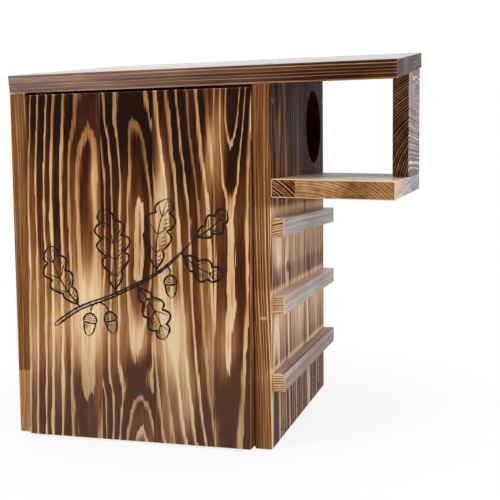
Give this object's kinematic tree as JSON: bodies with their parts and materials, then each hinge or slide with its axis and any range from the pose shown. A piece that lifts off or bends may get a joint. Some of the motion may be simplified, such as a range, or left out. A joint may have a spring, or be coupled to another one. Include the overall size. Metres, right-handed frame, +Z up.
{
  "type": "squirrel house",
  "caption": "Nest box of flamed softwood boards with a swinging front, a round side entrance, a balcony with a screen and climbing battens.",
  "frame": {"origin": "centre of the footprint of the house, on the surface that it stands on", "axes": "+Z up, the front door faces -Y, the entrance and its balcony are on the +X side"},
  "size_m": [0.402, 0.2879, 0.4187],
  "materials": {
    "side_boards": "matte",
    "door_board": "matte",
    "roof_board": "matte",
    "floor_boards": "matte",
    "battens": "matte",
    "screws": "satin"
  },
  "bodies": {
    "house": {"left_wall": "side_boards", "entrance_wall": "side_boards", "rear_wall": "side_boards", "floor_board": "floor_boards", "roof_board": "roof_board", "balcony_floor": "floor_boards", "balcony_screen": "battens", "climbing_batten_top": "battens", "climbing_batten_middle": "battens", "climbing_batten_bottom": "battens", "door_pivot_screw_left": "screws", "door_pivot_screw_right": "screws", "floor_screw_left_1": "screws", "floor_screw_left_2": "screws", "floor_screw_left_3": "screws", "floor_screw_right_1": "screws", "floor_screw_right_2": "screws", "floor_screw_right_3": "screws", "rear_wall_screw_left_1": "screws", "rear_wall_screw_left_2": "screws", "rear_wall_screw_left_3": "screws", "rear_wall_screw_right_1": "screws", "rear_wall_screw_right_2": "screws", "rear_wall_screw_right_3": "screws", "roof_screw_1": "screws", "roof_screw_2": "screws", "roof_screw_3": "screws", "roof_screw_4": "screws", "roof_screw_5": "screws", "roof_screw_6": "screws", "balcony_floor_screw_1": "screws", "balcony_floor_screw_2": "screws", "balcony_floor_screw_3": "screws", "balcony_screen_screw_lower_1": "screws", "balcony_screen_screw_lower_2": "screws", "balcony_screen_screw_upper_1": "screws", "balcony_screen_screw_upper_2": "screws", "top_batten_screw_1": "screws", "top_batten_screw_2": "screws", "middle_batten_screw_1": "screws", "middle_batten_screw_2": "screws", "bottom_batten_screw_1": "screws", "bottom_batten_screw_2": "screws"},
    "door": {"front_door": "door_board"}
  },
  "joints": [
    {"name": "front_door_swing", "type": "hinge", "parent": "house", "child": "door", "pos_m": [0, -0.129, 0.343], "axis": [-1, 0, 0], "range_deg": [0, 115]}
  ]
}
